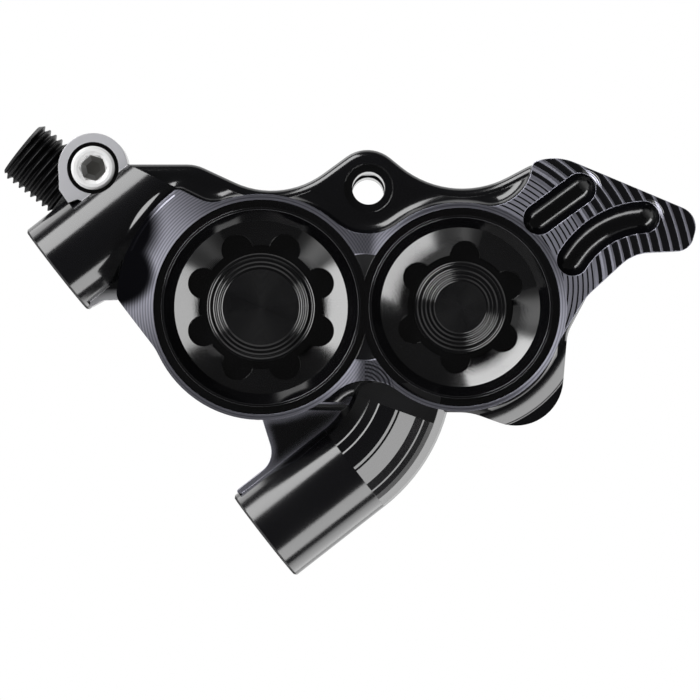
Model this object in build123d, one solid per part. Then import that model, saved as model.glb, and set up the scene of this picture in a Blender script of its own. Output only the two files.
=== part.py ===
from build123d import *
import math
import os

# Bicycle disc brake caliper: one-piece body, four pistons, flat mount.
# It is drawn in the plane of its outboard face: x right, y up, z out of the
# face, from the centre of the large bore. The last function turns it so that
# the two mounting holes lie along X, the mounting face is the plane Z = 0
# with the caliper above it, and the origin lies midway between the holes.
# All lengths are in millimetres.

# Pistons and the rotor between them
large_piston_d = 18.0
small_piston_d = 16.0
piston_length = 8.6
piston_clearance = 0.05
piston_wall = 2.4
piston_cup_depth = 6.2
piston_chamfer = 0.4
fluid_gap = 0.6
rotor_d = 140.0
rotor_thickness = 1.8
rotor_edge_height = 5.2
rotor_edge_clearance = 1.4
pad_travel = 1.2
slot_side_clearance = 1.75

# Pads and their spring
backplate_thickness = 1.7
friction_thickness = 2.0
pad_end_clearance = 0.3
backplate_corner = 3.2
backplate_ear_r = 3.3
friction_inset = 0.9
friction_corner = 2.6
friction_bottom = 8.7
friction_top_inset = 0.3
friction_groove_w = 1.2
friction_groove_depth = 1.1
ear_hole_r = 2.1
piston_proud = 0.7
spring_strip_t = 0.5
spring_width = 7.0
spring_wing_span = 22.0
spring_wing_h = 2.1
spring_wing_corner = 0.7
spring_crown_drop = 1.0
spring_gap = 0.3
spring_hole_r = 2.3

# Bore caps, their threads and seals
cap_length = 5.0
cap_recess = 0.25
cap_flange_t = 1.15
cap_thread_step = 0.6
large_cap_margin = 1.0
small_cap_margin = 1.2
cap_rim_gap = 0.8
cap_rim_land = 0.25
cap_bowl_depth = 2.0
cap_pocket_depth = 1.5
cap_thread_clearance = 0.03
cap_lip = 0.35
cap_seal_section = 0.9
groove_gap = 0.75
large_lobes = 8
large_lobe_turn = 22.5
small_lobes = 6
small_lobe_turn = 24.7
island_recess = 0.45
island_step = 0.5
island_rings = 3

# Piston seals: square rings in grooves
seal_width = 2.0
seal_depth = 1.2
seal_setback = 1.0
seal_play = 0.05

# Body: levels behind the front face
terrace_level = 4.0
cove_r = 1.5
terrace_edge_r = 0.9
back_wall = 2.7
back_boss_height = 1.6
back_boss_wall = 2.2
back_edge_chamfer = 1.2
large_ring_wall = 0.55
small_ring_wall = 0.5
ring_fillet_share = 0.25
face_arc_share = 1.283
dish_depth = 1.2
dish_r = 5.4
bridge_end_wall = 0.35
bridge_end_extra = 0.8
overrun = 2.0
sheet = 150.0

# Pad pin hole
pin_x = 10.8
pin_y = 12.0
pin_hole_r = 1.65
pin_mouth_r = 2.45
pin_mouth_depth = 0.8

# Mounting posts: flat mount, two M5 threads
mount_spacing = 34.0
mount_centre_x = -10.17
mount_centre_y = -9.70
mount_tilt = 52.0
post_d = 10.2
post_depth = 6.3
post_chamfer = 0.2
thread_core_r = 2.1
thread_depth = 12.0
upper_post_length = 14.9
lower_post_straight = 11.4
lower_post_bend_r = 13.0
lower_post_bend = 44.0
lower_post_facets = 20
web_front = 4.6
web_back = 11.4
gusset_front = 4.0
gusset_back = 8.6

# Bleed screw and its lug
lug_x = -16.9
lug_y = 14.0
lug_r = 3.5
lug_front = 3.0
lug_back = 10.2
bleed_well_r = 2.6
bleed_well_depth = 1.3
bleed_head_r = 2.2
bleed_head_edge = 0.25
bleed_thread_r = 1.75
bleed_thread_length = 3.2
bleed_clearance = 0.05
bleed_key = 2.5
bleed_key_depth = 1.3
bleed_sink_r = 1.65
bleed_tip_length = 0.9
bleed_tip_r = 0.7
bleed_proud = 0.25
bleed_seal_section = 0.35

# Hose fitting
fitting_x = -24.5
fitting_y = 16.2
fitting_tilt = -38.6
fitting_depth = 12.2
fitting_d = 6.6
fitting_length = 10.65
fitting_free = 6.45
fitting_boss_wall = 0.9
fitting_boss_length = 14.0
fitting_socket_r = 2.6
fitting_socket_depth = 4.6
fitting_bore_r = 0.9
fitting_pitch = 0.75
fitting_thread_depth = 0.42
fitting_chamfer = 0.45
fitting_clearance = 0.04
fitting_seal_section = 0.7
fitting_seal_setback = 0.9

# Fin
fin_thickness = 5.0
fin_centre_share_x = 0.096
fin_centre_share_y = 0.191
fin_flat_r = 12.5
fin_pitch = 1.0
fin_ridges = 12
fin_ridge_depth = 0.14
fin_drop = 2.2
fin_drop_power = 1.5
fin_notch_share_x = 0.249
fin_notch_share_y = 1.397
fin_notch_bite = 0.2
fin_ring_gap = 0.15
fin_slot_r = 1.6
fin_slot_sink = 0.2

# Fluid drillings and the crossover plug
drilling_r = 0.8
crossover_x = 31.4
crossover_y = 7.0
plug_r = 2.0
plug_length = 4.0
plug_key = 2.0
plug_key_depth = 1.8
plug_recess = 0.4
plug_clearance = 0.03

# Sizes that follow
large_r = large_piston_d / 2
small_r = small_piston_d / 2
large_cap_rim_r = large_r + large_cap_margin
small_cap_rim_r = small_r + small_cap_margin
bore_spacing = large_cap_rim_r + small_cap_rim_r + cap_rim_gap
large_groove_r = large_cap_rim_r + groove_gap
small_groove_r = small_cap_rim_r + groove_gap
large_ring_r = large_groove_r + large_ring_wall
small_ring_r = small_groove_r + small_ring_wall
face_arc_r = large_ring_r * face_arc_share
fin_centre_x = bore_spacing + fin_centre_share_x * small_ring_r
fin_centre_y = fin_centre_share_y * small_ring_r
fin_notch_x = bore_spacing + fin_notch_share_x * small_ring_r
fin_notch_y = fin_notch_share_y * small_ring_r
cap_seat = cap_recess + cap_flange_t
cap_bottom = cap_recess + cap_length
outer_piston_back = cap_bottom + fluid_gap
outer_piston_front = outer_piston_back + piston_length
outer_wall = outer_piston_front - piston_proud
outer_pad_back = outer_piston_front
outer_friction_back = outer_pad_back + backplate_thickness
outer_friction_front = outer_friction_back + friction_thickness
rotor_plane = outer_friction_front + pad_travel + rotor_thickness / 2
inner_friction_front = 2 * rotor_plane - outer_friction_front
inner_friction_back = inner_friction_front + friction_thickness
inner_pad_back = inner_friction_back + backplate_thickness
inner_wall = inner_pad_back + piston_proud
inner_piston_back = inner_pad_back + piston_length
inner_floor = inner_piston_back + fluid_gap
body_depth = inner_floor + back_wall
slot_front = rotor_plane - rotor_thickness / 2 - slot_side_clearance
slot_back = rotor_plane + rotor_thickness / 2 + slot_side_clearance
slot_r = rotor_d / 2 + rotor_edge_clearance
rotor_x = bore_spacing / 2
rotor_y = rotor_edge_height - rotor_d / 2
pocket_left = -large_r - bridge_end_wall
pocket_right = bore_spacing + small_r + bridge_end_wall + bridge_end_extra
post_r = post_d / 2
fitting_r = fitting_d / 2

# Caps: radii of the cone, the pocket's land, the island, its face, a lobe and
# the lobes' ring, as shares of the rim's radius
large_cap_shares = (0.870, 0.620, 0.540, 0.380, 0.160, 0.620)
small_cap_shares = (0.870, 0.576, 0.500, 0.283, 0.168, 0.560)

# Outlines: x, y and corner radius. The body, web, trims and lug foot are shares
# of the bore spacing; the wedge, gusset and left blends are shares of the large ring's
# radius; the fin, its slots and right blends of the small one's, from its centre.
body_shares = [
    (-0.750, 0.720, 0.090),
    (-0.330, 0.720, 0.200),
    (0.102, 0.520, 0.440),
    (0.540, 0.840, 0.180),
    (0.955, 0.505, 0.490),
    (1.455, 0.768, 0.250),
    (1.700, 0.620, 0.150),
    (1.670, 0.110, 0.150),
    (1.542, -0.130, 0.200),
    (1.494, -0.688, 0.240),
    (1.055, -0.530, 0.300),
    (0.050, -0.520, 0.150),
    (-0.355, -0.435, 0.150),
    (-0.705, 0.060, 0.150),
]
fin_shares = [
    (0.000, 0.000, 0.096),
    (0.172, 0.823, 0.038),
    (0.249, 1.148, 0.038),
    (0.440, 1.248, 0.038),
    (0.861, 1.481, 0.526),
    (2.302, 0.884, 0.201),
    (2.201, 0.540, 0.163),
    (1.656, 0.513, 0.431),
    (1.196, 0.092, 0.574),
    (0.890, -0.411, 0.038),
    (0.574, -0.411, 0.038),
]
wedge_shares = [
    (-1.324, 0.142),
    (-1.681, 0.531),
    (-1.239, 1.593),
    (-0.743, 1.053),
    (-0.248, 0.812),
    (0.000, 0.708),
    (0.000, 0.000),
    (-0.627, -0.770),
]
left_blend_shares = [
    (-0.434, 0.903, 0.265),
    (-0.931, -0.363, 0.531),
    (-0.736, 1.051, 0.071),
    (-1.283, 0.051, 0.142),
]
right_blend_shares = [
    (0.949, -0.314, 0.478),
    (0.297, 0.957, 0.287),
    (0.687, 1.382, 0.067),
]
web_shares = [
    (-0.015, -0.500, 0.010),
    (0.070, -0.772, 0.120),
    (-0.140, -0.935, 0.010),
    (0.250, -0.950, 0.010),
    (0.775, -0.745, 0.020),
    (0.882, -0.540, 0.080),
    (1.000, -0.500, 0.010),
    (0.900, -0.350, 0.010),
]
gusset_shares = [
    (-1.524, -0.004, 0.010),
    (-1.400, 0.062, 0.040),
    (-1.275, 0.066, 0.040),
    (-1.185, -0.008, 0.010),
    (-1.020, 0.100, 0.010),
    (-1.111, 0.340, 0.010),
    (-1.511, 0.290, 0.010),
]
lug_foot_shares = [
    (-1.018, 0.700),
    (-1.015, 0.590),
    (-0.970, 0.525),
    (-0.640, 0.640),
    (-0.668, 0.715),
    (-0.845, 0.700),
]
post_trim_shares = [
    (-1.300, -0.200),
    (-1.300, 0.800),
    (-0.700, 0.735),
    (-0.245, 0.510),
    (-0.100, -0.200),
]
slot_one_shares = [(0.750, 0.842), (1.141, 1.129)]
slot_two_shares = [(1.072, 0.450), (1.321, 0.712), (1.757, 0.861)]
pad_shares = [
    (0.00, -1.02),
    (1.00, -1.02),
    (1.00, 0.72),
    (0.66, 0.96),
    (0.34, 0.96),
    (0.00, 0.72),
]


def rounded_face(shares, scale):
    points = [(scale * x, scale * y) for x, y, r in shares]
    radii = [scale * r for x, y, r in shares]
    return make_face(FilletPolyline(*points, radius=radii, close=True))


def sharp_face(shares, scale):
    points = [(scale * x, scale * y) for x, y in shares]
    return make_face(Polyline(*points, close=True))


def prism(face, near, far):
    # a flat face pushed from depth `far` up to depth `near` behind the front
    return extrude(Pos(0, 0, -far) * face, far - near, dir=(0, 0, 1))


def bar(x, y, radius, near, far):
    return prism(Pos(x, y) * Circle(radius), near, far)


def turned(profile_points, x=0, y=0):
    # profile points are (radius, depth) pairs, turned about an axis along z
    points = [(r, 0, -d) for r, d in profile_points]
    face = make_face(Polyline(*points, close=True))
    return Pos(x, y, 0) * revolve(face, Axis.Z)


def rod(start, end, radius):
    run = Vector(*end) - Vector(*start)
    plane = Plane(origin=start, z_dir=run)
    return plane * Cylinder(radius, run.length, align=(Align.CENTER, Align.CENTER, Align.MIN))


def concave_fillet(face, x, y, radius):
    corner = face.vertices().sort_by_distance((x, y, 0))[0]
    return fillet(corner, radius)


# Directions of the mounting holes
tilt = math.radians(mount_tilt)
along = (math.cos(tilt), -math.sin(tilt))
outward = (math.sin(tilt), math.cos(tilt))


def post_point(side, reach):
    # a point on a post's axis, `reach` in from its mounting face
    x = mount_centre_x + side * along[0] * mount_spacing / 2 + outward[0] * reach
    y = mount_centre_y + side * along[1] * mount_spacing / 2 + outward[1] * reach
    return (x, y, -post_depth)


def fitting_point(reach):
    # a point on the hose fitting's axis, `reach` in from its mouth
    turn = math.radians(fitting_tilt)
    x = fitting_x + math.cos(turn) * reach
    y = fitting_y + math.sin(turn) * reach
    return (x, y, -fitting_depth)


def front_outline():
    wedge = sharp_face(wedge_shares, large_ring_r) & Circle(face_arc_r)
    fin = Pos(bore_spacing, 0) * rounded_face(fin_shares, small_ring_r)
    notch_reach = math.dist((fin_notch_x, fin_notch_y), (bore_spacing, 0))
    notch_r = notch_reach - small_ring_r + fin_notch_bite
    fin = fin - Pos(fin_notch_x, fin_notch_y) * Circle(notch_r)
    small_ring = Pos(bore_spacing, 0) * Circle(small_ring_r)
    outline = Circle(large_ring_r) + small_ring + wedge + fin
    meet_x = (bore_spacing**2 + large_ring_r**2 - small_ring_r**2) / (2 * bore_spacing)
    meet_y = math.sqrt(large_ring_r**2 - meet_x**2)
    for side in (1, -1):
        outline = concave_fillet(outline, meet_x, side * meet_y, ring_fillet_share * bore_spacing)
    for x, y, r in left_blend_shares:
        outline = concave_fillet(outline, x * large_ring_r, y * large_ring_r, r * large_ring_r)
    for x, y, r in right_blend_shares:
        at_x = bore_spacing + x * small_ring_r
        outline = concave_fillet(outline, at_x, y * small_ring_r, r * small_ring_r)
    return outline


def bore_rings(inset):
    large_ring = Circle(large_ring_r - inset)
    return [large_ring, Pos(bore_spacing, 0) * Circle(small_ring_r - inset)]


def face_plate():
    # the raised front, with a cove where its wall meets the terrace
    outline = front_outline()
    slab = prism(Rectangle(sheet, sheet), terrace_level, fin_thickness)
    stepped = slab + prism(outline, 0, terrace_level)
    level = stepped.edges().filter_by_position(Axis.Z, -terrace_level, -terrace_level)
    foot = [edge for edge in level if edge.length < sheet / 2]
    coved = fillet(foot, cove_r)
    inside = offset(rounded_face(body_shares, bore_spacing), -terrace_edge_r)
    for ring in bore_rings(terrace_edge_r):
        inside = inside + ring
    keep = prism(outline, 0, fin_thickness) + prism(inside, 0, terrace_level)
    return coved & keep


def edged_block(outline):
    # rounded at the front edge and chamfered at the back one
    block = prism(outline, terrace_level, body_depth - back_boss_height)
    front_edges = block.faces().sort_by(Axis.Z)[-1].edges()
    block = fillet(front_edges, terrace_edge_r)
    back_edges = block.faces().sort_by(Axis.Z)[0].edges()
    return chamfer(back_edges, back_edge_chamfer)


def core_block():
    # the two halves and their bridges as one block
    block = edged_block(rounded_face(body_shares, bore_spacing))
    for ring in bore_rings(0):
        block = block + edged_block(ring)
    for x, radius in ((0, large_r), (bore_spacing, small_r)):
        boss_r = radius + back_boss_wall
        profile = [
            (0, inner_floor),
            (boss_r, inner_floor),
            (boss_r, body_depth - back_edge_chamfer),
            (boss_r - back_edge_chamfer, body_depth),
            (0, body_depth),
        ]
        block = block + turned(profile, x)
    return block


def straight_post(side, length):
    mouth = post_point(side, 0)
    post = rod(mouth, post_point(side, length), post_r)
    rim = post.edges().filter_by(GeomType.CIRCLE).sort_by_distance(mouth)[0]
    return chamfer(rim, post_chamfer)


def posts():
    upper = straight_post(-1, upper_post_length)
    trim = sharp_face(post_trim_shares, bore_spacing)
    upper = upper & prism(trim, 0, body_depth)
    lower = straight_post(1, lower_post_straight)
    bend_start = post_point(1, lower_post_straight)
    heading = (outward[0], outward[1])
    path = JernArc((bend_start[0], bend_start[1]), heading, lower_post_bend_r, lower_post_bend)
    path = Pos(0, 0, -post_depth) * path
    section = Plane(origin=bend_start, z_dir=(outward[0], outward[1], 0))
    bend = sweep(section * RegularPolygon(post_r, lower_post_facets), path=path)
    return upper + lower + bend


def lug_and_port():
    lug = bar(lug_x, lug_y, lug_r, lug_front, lug_back)
    foot = prism(sharp_face(lug_foot_shares, bore_spacing), lug_front, lug_back)
    boss_r = fitting_r + fitting_boss_wall
    boss = rod(fitting_point(fitting_free), fitting_point(fitting_boss_length), boss_r)
    return lug + foot + boss


def fin_depth(radius):
    # how far the fin's face lies behind the front face, at a radius
    run = max(radius - fin_flat_r, 0) / (fin_pitch * fin_ridges)
    return fin_drop * run**fin_drop_power


def fin_cutter():
    # everything in front of the fin's sloping, ridged face
    stops = [fin_flat_r + fin_pitch * i for i in range(fin_ridges + 1)]
    edges = []
    for inner, outer in zip(stops, stops[1:]):
        middle = (inner + outer) / 2
        low = fin_depth(middle) + fin_ridge_depth
        start = (inner, 0, -fin_depth(inner))
        end = (outer, 0, -fin_depth(outer))
        edges.append(ThreePointArc(start, (middle, 0, -low), end))
    last = (stops[-1], 0, -fin_depth(stops[-1]))
    over = (stops[-1], 0, overrun)
    first_over = (fin_flat_r, 0, overrun)
    edges.append(Line(last, over))
    edges.append(Line(over, first_over))
    edges.append(Line(first_over, (fin_flat_r, 0, 0)))
    profile = make_face(edges)
    cutter = Pos(fin_centre_x, fin_centre_y, 0) * revolve(profile, Axis.Z)
    cutter = cutter - bar(bore_spacing, 0, small_ring_r + fin_ring_gap, -overrun, terrace_level)
    right_side = Rectangle(sheet, sheet, align=(Align.MIN, Align.CENTER))
    return cutter & prism(Pos(fin_notch_x, 0) * right_side, -sheet, sheet)


def fin_slot(shares):
    points = []
    for x, y in shares:
        px, py = bore_spacing + x * small_ring_r, y * small_ring_r
        radius = math.dist((px, py), (fin_centre_x, fin_centre_y))
        points.append((px, py, -fin_depth(radius) - fin_slot_sink))
    path = Line(*points) if len(points) == 2 else ThreePointArc(*points)
    start = Plane(origin=points[0], z_dir=path % 0)
    slot = sweep(start * Circle(fin_slot_r), path=path)
    for end in (points[0], points[-1]):
        slot = slot + Pos(*end) * Sphere(fin_slot_r)
    return slot


def bore_cut(x, rim_r, groove_r, radius):
    # one bore through both halves, with its cap seat and seal grooves
    thread_r = rim_r - cap_thread_step + cap_thread_clearance
    bore_r = radius + piston_clearance
    seal_r = bore_r + seal_depth
    seal_back = outer_wall - seal_setback
    far_seal = inner_wall + seal_setback
    return turned(
        [
            (0, -overrun),
            (groove_r, -overrun),
            (groove_r, cap_seat),
            (thread_r, cap_seat),
            (thread_r, outer_piston_back),
            (bore_r, outer_piston_back),
            (bore_r, seal_back - seal_width),
            (seal_r, seal_back - seal_width),
            (seal_r, seal_back),
            (bore_r, seal_back),
            (bore_r, far_seal),
            (seal_r, far_seal),
            (seal_r, far_seal + seal_width),
            (bore_r, far_seal + seal_width),
            (bore_r, inner_floor),
            (0, inner_floor),
        ],
        x,
    )


def drillings():
    outer_level = outer_piston_back - fluid_gap / 2
    inner_level = inner_floor - fluid_gap / 2
    large_wall = large_r - drilling_r
    small_wall = bore_spacing - small_r + drilling_r
    port = fitting_point(fitting_length)
    chamber = Vector(port[0], port[1], 0).normalized() * large_r
    holes = [
        rod(port, (chamber.X, chamber.Y, -outer_level), drilling_r),
        rod((lug_x, lug_y, -lug_back), fitting_point(fitting_length + drilling_r), drilling_r),
        bar(lug_x, lug_y, drilling_r, lug_front, lug_back + drilling_r),
        bar(crossover_x, crossover_y, drilling_r, outer_level, body_depth),
    ]
    for level in (outer_level, inner_level):
        holes.append(rod((large_wall, 0, -level), (small_wall, 0, -level), drilling_r))
        reach = (bore_spacing + small_wall / 2, crossover_y / 2, -level)
        holes.append(rod(reach, (crossover_x, crossover_y, -level), drilling_r))
    return holes


def socket_cuts():
    cuts = []
    for side in (-1, 1):
        mouth = post_point(side, -overrun)
        cuts.append(rod(mouth, post_point(side, thread_depth), thread_core_r))
    back = lug_front + bleed_well_depth + bleed_thread_length
    cuts.append(bar(lug_x, lug_y, bleed_well_r, -overrun, lug_front + bleed_well_depth))
    cuts.append(bar(lug_x, lug_y, bleed_thread_r + bleed_clearance, lug_front, back))
    tip_profile = [
        (0, back),
        (bleed_thread_r + bleed_clearance, back),
        (bleed_tip_r, back + bleed_tip_length + bleed_clearance),
        (0, back + bleed_tip_length + bleed_clearance),
    ]
    cuts.append(turned(tip_profile, lug_x, lug_y))
    mouth = fitting_point(-overrun)
    cuts.append(rod(mouth, fitting_point(fitting_length), fitting_r + fitting_clearance))
    plug_back = body_depth + overrun
    plug_front = body_depth - back_boss_height - plug_recess - plug_length
    cuts.append(bar(crossover_x, crossover_y, plug_r + plug_clearance, plug_front, plug_back))
    cuts.append(bar(pin_x, pin_y, pin_hole_r, -overrun, body_depth + overrun))
    cuts.append(bar(pin_x, pin_y, pin_mouth_r, -overrun, terrace_level + pin_mouth_depth))
    return cuts


def caliper_body():
    body = core_block() + face_plate()
    body = body - fin_cutter()
    body = body + posts() + lug_and_port()
    web = rounded_face(web_shares, bore_spacing)
    body = body + prism(web, web_front, web_back)
    gusset = rounded_face(gusset_shares, large_ring_r)
    body = body + prism(gusset, gusset_front, gusset_back)
    ball_r = (dish_r**2 + dish_depth**2) / (2 * dish_depth)
    dish_x = (large_cap_rim_r + bore_spacing - small_cap_rim_r) / 2
    body = body - Pos(dish_x, 0, ball_r - dish_depth) * Sphere(ball_r)
    body = body - bore_cut(0, large_cap_rim_r, large_groove_r, large_r)
    body = body - bore_cut(bore_spacing, small_cap_rim_r, small_groove_r, small_r)
    pocket = Rectangle(pocket_right - pocket_left, sheet, align=(Align.MIN, Align.CENTER))
    body = body - prism(Pos(pocket_left, 0) * pocket, outer_wall, inner_wall)
    body = body - bar(rotor_x, rotor_y, slot_r, slot_front, slot_back)
    for shares in (slot_one_shares, slot_two_shares):
        body = body - fin_slot(shares)
    for cut in socket_cuts() + drillings():
        body = body - cut
    return body


def bore_cap(x, rim_r, shares, count, turn):
    # a threaded cap: bowl, flower-shaped key pocket and a stepped island
    cone_r, land_r, island_r, face_r, lobe_r, reach = [share * rim_r for share in shares]
    thread_r = rim_r - cap_thread_step
    floor = cap_recess + cap_bowl_depth
    face_level = cap_recess + island_recess
    profile = [(0, face_level), (face_r, face_level)]
    ring_width = (island_r - face_r) / island_rings
    for i in range(island_rings):
        level = face_level + island_step * (i + 1) / island_rings
        profile.append((face_r + ring_width * i, level))
        profile.append((face_r + ring_width * (i + 1), level))
    seal_back = cap_bottom - cap_lip
    seal_inner = thread_r - cap_seal_section
    profile += [
        (island_r, floor),
        (cone_r, floor),
        (rim_r - cap_rim_land, cap_recess),
        (rim_r, cap_recess),
        (rim_r, cap_seat),
        (thread_r, cap_seat),
        (thread_r, seal_back - cap_seal_section),
        (seal_inner, seal_back - cap_seal_section),
        (seal_inner, seal_back),
        (thread_r, seal_back),
        (thread_r, cap_bottom),
        (0, cap_bottom),
    ]
    cap = turned(profile, x)
    flower = Circle(land_r)
    for i in range(count):
        angle = math.radians(turn + 360 * i / count)
        flower = flower + Pos(reach * math.cos(angle), reach * math.sin(angle)) * Circle(lobe_r)
    flower = Pos(x, 0) * (flower - Circle(island_r))
    return cap - prism(flower, cap_recess, floor + cap_pocket_depth)


def cap_seal(x, rim_r):
    ring_r = cap_seal_section / 2
    major = rim_r - cap_thread_step - ring_r
    return Pos(x, 0, ring_r + cap_lip - cap_bottom) * Torus(major, ring_r)


def piston(x, radius, back, front):
    # a cup open towards its pad; `front` is the pad's side
    way = 1 if front > back else -1
    inside = radius - piston_wall
    edge = piston_chamfer
    profile = [
        (0, back),
        (radius - edge, back),
        (radius, back + way * edge),
        (radius, front - way * edge),
        (radius - edge, front),
        (inside, front),
        (inside, front - way * piston_cup_depth),
        (0, front - way * piston_cup_depth),
    ]
    return turned(profile, x)


def piston_seal(x, radius, near):
    # `near` is the depth of the groove's front side
    inside = radius + piston_clearance
    start = near + seal_play
    end = near + seal_width - seal_play
    outside = inside + seal_depth
    return turned([(inside, start), (outside, start), (outside, end), (inside, end)], x)


def backplate(near):
    left = pocket_left + pad_end_clearance
    width = pocket_right - pad_end_clearance - left
    points = [(left + width * x, large_r * y) for x, y in pad_shares]
    plate = make_face(FilletPolyline(*points, radius=backplate_corner, close=True))
    ear = Pos(pin_x, pin_y / 2) * Rectangle(2 * backplate_ear_r, pin_y)
    plate = plate + ear + Pos(pin_x, pin_y) * Circle(backplate_ear_r)
    plate = plate - Pos(pin_x, pin_y) * Circle(ear_hole_r)
    return prism(plate, near, near + backplate_thickness)


def friction_block(near, far, face):
    # `face` is the depth of the side that meets the rotor
    left = pocket_left + pad_end_clearance + friction_inset
    right = pocket_right - pad_end_clearance - friction_inset
    top = rotor_edge_height - friction_top_inset
    centre = Pos((left + right) / 2, (top - friction_bottom) / 2)
    block = centre * RectangleRounded(right - left, top + friction_bottom, friction_corner)
    block = prism(block, near, far)
    groove = Pos(rotor_x, 0) * Rectangle(friction_groove_w, sheet)
    return block - prism(groove, face - friction_groove_depth, face + friction_groove_depth)


def pad_spring():
    # a bent strip over the pin's place, with a winged leg behind each pad
    outer = outer_friction_back + spring_gap
    inner = inner_friction_back - spring_gap
    leg_bottom = rotor_edge_height + spring_gap
    crown = pin_y + backplate_ear_r - spring_crown_drop
    leg = Pos(pin_x, (leg_bottom + crown) / 2) * Rectangle(spring_width, crown - leg_bottom)
    wing = Pos(pin_x, leg_bottom + spring_wing_h / 2) * RectangleRounded(
        spring_wing_span, spring_wing_h, spring_wing_corner
    )
    side = leg + wing - Pos(pin_x, pin_y) * Circle(spring_hole_r)
    spring = prism(side, outer, outer + spring_strip_t)
    spring = spring + prism(side, inner - spring_strip_t, inner)
    top = Pos(pin_x, crown - spring_strip_t / 2) * Rectangle(spring_width, spring_strip_t)
    return spring + prism(top, outer, inner)


def hose_fitting():
    # a threaded stub with a socket for the hose's end
    grooves = int((fitting_free - fitting_chamfer) / fitting_pitch)
    profile = [
        (fitting_socket_r, 0),
        (fitting_r - fitting_chamfer, 0),
        (fitting_r, fitting_chamfer),
    ]
    for i in range(grooves):
        start = fitting_chamfer + i * fitting_pitch
        profile.append((fitting_r - fitting_thread_depth, start + fitting_pitch / 2))
        profile.append((fitting_r, start + fitting_pitch))
    groove_end = fitting_length - fitting_seal_setback
    groove_r = fitting_r - fitting_seal_section
    profile += [
        (fitting_r, groove_end - fitting_seal_section),
        (groove_r, groove_end - fitting_seal_section),
        (groove_r, groove_end),
        (fitting_r, groove_end),
        (fitting_r, fitting_length),
        (fitting_bore_r, fitting_length),
        (fitting_bore_r, fitting_socket_depth),
        (fitting_socket_r, fitting_socket_depth),
    ]
    points = [(r, 0, reach) for r, reach in profile]
    stub = revolve(make_face(Polyline(*points, close=True)), Axis.Z)
    return fitting_plane() * stub


def fitting_plane():
    run = Vector(*fitting_point(fitting_length)) - Vector(*fitting_point(0))
    return Plane(origin=fitting_point(0), z_dir=run)


def hose_fitting_seal():
    ring_r = fitting_seal_section / 2
    reach = fitting_length - fitting_seal_setback - ring_r
    return fitting_plane() * Pos(0, 0, reach) * Torus(fitting_r - ring_r, ring_r)


def bleed_screw():
    top = lug_front - bleed_proud
    seat = lug_front + bleed_well_depth - bleed_seal_section
    shank_end = lug_front + bleed_well_depth + bleed_thread_length
    sink = bleed_sink_r - bleed_key / 2
    profile = [
        (0, top + sink),
        (bleed_key / 2, top + sink),
        (bleed_sink_r, top),
        (bleed_head_r - bleed_head_edge, top),
        (bleed_head_r, top + bleed_head_edge),
        (bleed_head_r, seat),
        (bleed_thread_r, seat),
        (bleed_thread_r, shank_end),
        (bleed_tip_r, shank_end + bleed_tip_length),
        (0, shank_end + bleed_tip_length),
    ]
    screw = turned(profile, lug_x, lug_y)
    key = Pos(lug_x, lug_y) * RegularPolygon(bleed_key / 2, 6, major_radius=False)
    return screw - prism(key, top, top + bleed_key_depth)


def bleed_screw_seal():
    seat = lug_front + bleed_well_depth
    inside = bleed_thread_r + bleed_clearance
    ring = [
        (inside, seat - bleed_seal_section),
        (bleed_head_r, seat - bleed_seal_section),
        (bleed_head_r, seat),
        (inside, seat),
    ]
    return turned(ring, lug_x, lug_y)


def crossover_plug():
    back = body_depth - back_boss_height - plug_recess
    plug = bar(crossover_x, crossover_y, plug_r, back - plug_length, back)
    key = Pos(crossover_x, crossover_y) * RegularPolygon(plug_key / 2, 6, major_radius=False)
    return plug - prism(key, back - plug_key_depth, back)


def place(shape):
    # from the face's plane to the mounting frame
    mount = Plane(
        origin=(mount_centre_x, mount_centre_y, -post_depth),
        x_dir=(along[0], along[1], 0),
        z_dir=(outward[0], outward[1], 0),
    )
    return mount.to_local_coords(shape)


parts = {
    "caliper_body": caliper_body(),
    "bore_cap_large": bore_cap(
        0, large_cap_rim_r, large_cap_shares, large_lobes, large_lobe_turn
    ),
    "bore_cap_small": bore_cap(
        bore_spacing, small_cap_rim_r, small_cap_shares, small_lobes, small_lobe_turn
    ),
    "cap_seal_large": cap_seal(0, large_cap_rim_r),
    "cap_seal_small": cap_seal(bore_spacing, small_cap_rim_r),
    "outer_pad_backplate": backplate(outer_pad_back),
    "inner_pad_backplate": backplate(inner_friction_back),
    "outer_pad_friction": friction_block(
        outer_friction_back, outer_friction_front, outer_friction_front
    ),
    "inner_pad_friction": friction_block(
        inner_friction_front, inner_friction_back, inner_friction_front
    ),
    "pad_spring": pad_spring(),
    "hose_fitting": hose_fitting(),
    "hose_fitting_seal": hose_fitting_seal(),
    "bleed_screw": bleed_screw(),
    "bleed_screw_seal": bleed_screw_seal(),
    "crossover_plug": crossover_plug(),
}
outer_groove = outer_wall - seal_setback - seal_width
inner_groove = inner_wall + seal_setback
for size, x, radius in (("large", 0, large_r), ("small", bore_spacing, small_r)):
    outer = piston(x, radius, outer_piston_back, outer_piston_front)
    inner = piston(x, radius, inner_piston_back, inner_pad_back)
    parts[f"outer_piston_{size}"] = outer
    parts[f"inner_piston_{size}"] = inner
    parts[f"outer_piston_seal_{size}"] = piston_seal(x, radius, outer_groove)
    parts[f"inner_piston_seal_{size}"] = piston_seal(x, radius, inner_groove)

os.makedirs("parts", exist_ok=True)
for name, shape in parts.items():
    export_step(place(shape), f"parts/{name}.step")
    print(name, len(shape.solids()), round(shape.volume, 1))
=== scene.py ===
import math

import bpy
from mathutils import Matrix, Vector


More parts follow.
